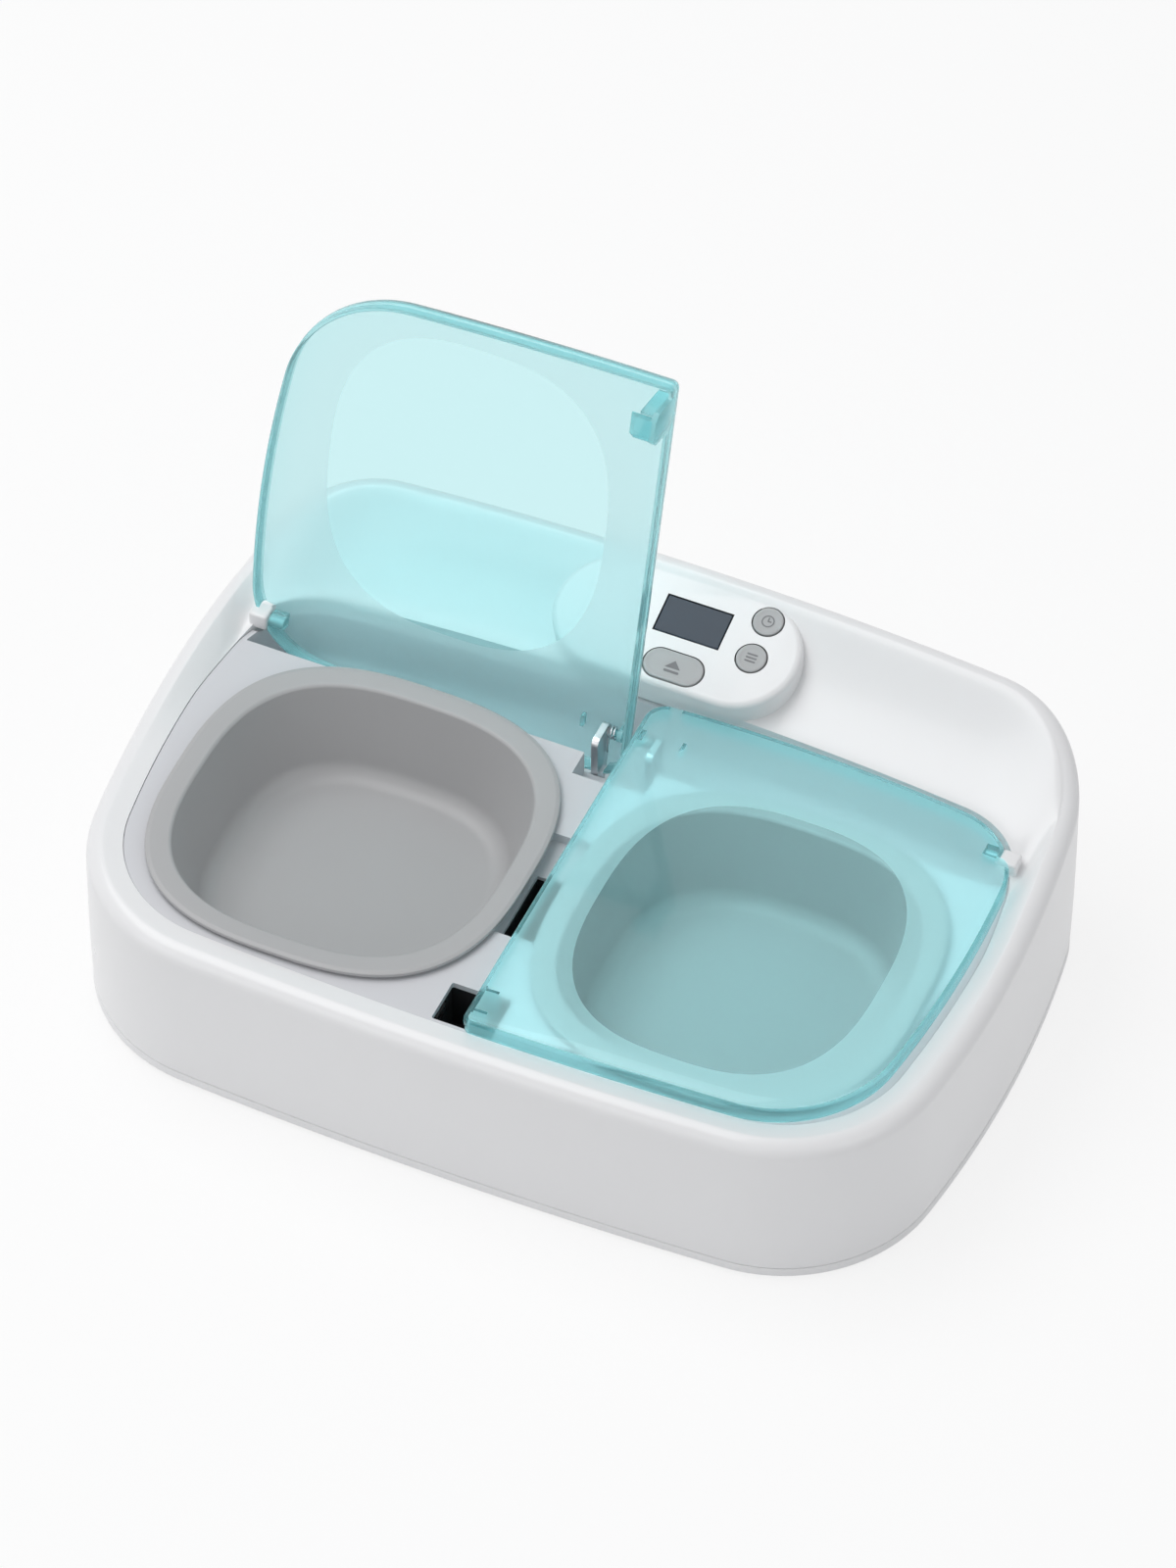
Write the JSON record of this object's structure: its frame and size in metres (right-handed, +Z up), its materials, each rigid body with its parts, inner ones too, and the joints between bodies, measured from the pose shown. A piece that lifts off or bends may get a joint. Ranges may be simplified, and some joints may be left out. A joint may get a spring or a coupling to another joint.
{
  "type": "pet feeder",
  "caption": "Low rounded chilled pet feeder with paired lift-out bowls, tinted lids hinged along the back and a sloping button console.",
  "frame": {"origin": "centre of the bounding box at floor level", "axes": "+X to the feeder's right as the pet faces it from the front, +Y to the back, +Z up"},
  "size_m": [0.354, 0.244, 0.2306],
  "materials": {
    "white_plastic": "smooth white moulding",
    "deck_plastic": "satin light grey",
    "bowl_plastic": "satin mid grey",
    "lid_plastic": "clear turquoise, frosted round the window",
    "button_rubber": "matt grey",
    "window_plastic": "dark polished",
    "black_plastic": "matt black",
    "grey_rubber": "matt",
    "steel": "bright",
    "ear_steel": "satin",
    "aluminium": "bare",
    "foam": "closed-cell foam",
    "board": "green lacquer",
    "ceramic": "fired white",
    "coil": "wound copper"
  },
  "bodies": {
    "housing": {"outer_shell": "white_plastic", "base_cover": "white_plastic", "deck_tray": "deck_plastic", "right_bowl": "bowl_plastic", "display_window": "window_plastic", "latch_frame": "black_plastic", "air_duct": "black_plastic", "fan_frame": "black_plastic", "power_socket": "black_plastic", "display_module": "black_plastic", "foot_front_left": "grey_rubber", "foot_front_right": "grey_rubber", "foot_back_left": "grey_rubber", "foot_back_right": "grey_rubber", "button_mat": "grey_rubber", "base_screw_front_left": "steel", "base_screw_front_right": "steel", "base_screw_back_left": "steel", "base_screw_back_right": "steel", "left_pivot_pin": "steel", "right_pivot_pin": "steel", "left_lid_spring": "steel", "right_lid_spring": "steel", "left_hinge_ear": "ear_steel", "right_hinge_ear": "ear_steel", "left_well": "aluminium", "right_well": "aluminium", "left_heat_sink": "aluminium", "right_heat_sink": "aluminium", "left_insulation": "foam", "right_insulation": "foam", "main_board": "board", "control_board": "board", "left_cooling_module": "ceramic", "right_cooling_module": "ceramic", "left_solenoid": "coil", "right_solenoid": "coil"},
    "left_lid": {"left_lid": "lid_plastic"},
    "right_lid": {"right_lid": "lid_plastic"},
    "left_bowl": {"left_bowl": "bowl_plastic"},
    "open_button": {"open_button": "button_rubber"},
    "set_button": {"set_button": "button_rubber"},
    "timer_button": {"timer_button": "button_rubber"},
    "left_latch": {"left_latch": "steel"},
    "right_latch": {"right_latch": "steel"},
    "fan_rotor": {"fan_rotor": "black_plastic"}
  },
  "joints": [
    {"name": "left_lid_hinge", "type": "hinge", "parent": "housing", "child": "left_lid", "pos_m": [0, 0.0492, 0.077], "axis": [-1, 0, 0], "range_deg": [-105, 0]},
    {"name": "right_lid_hinge", "type": "hinge", "parent": "housing", "child": "right_lid", "pos_m": [0, 0.0492, 0.077], "axis": [-1, 0, 0], "range_deg": [0, 105]},
    {"name": "left_bowl_lift", "type": "slide", "parent": "housing", "child": "left_bowl", "axis": [0, 0, 1], "range_m": [0, 0.06]},
    {"name": "open_button_press", "type": "slide", "parent": "housing", "child": "open_button", "axis": [0, 0.2756, -0.9613], "range_m": [0, 0.001], "stiffness_N_per_m": 400, "springref_m": -0.0005},
    {"name": "set_button_press", "type": "slide", "parent": "housing", "child": "set_button", "axis": [0, 0.2756, -0.9613], "range_m": [0, 0.001], "stiffness_N_per_m": 400, "springref_m": -0.0005},
    {"name": "timer_button_press", "type": "slide", "parent": "housing", "child": "timer_button", "axis": [0, 0.2756, -0.9613], "range_m": [0, 0.001], "stiffness_N_per_m": 400, "springref_m": -0.0005},
    {"name": "left_latch_slide", "type": "slide", "parent": "housing", "child": "left_latch", "axis": [-1, 0, 0], "range_m": [-0.003, 0]},
    {"name": "right_latch_slide", "type": "slide", "parent": "housing", "child": "right_latch", "axis": [1, 0, 0], "range_m": [-0.003, 0]},
    {"name": "fan_spin", "type": "hinge", "parent": "housing", "child": "fan_rotor", "pos_m": [-0.064, 0.09, 0.0108], "axis": [0, 0, 1], "continuous": true}
  ]
}
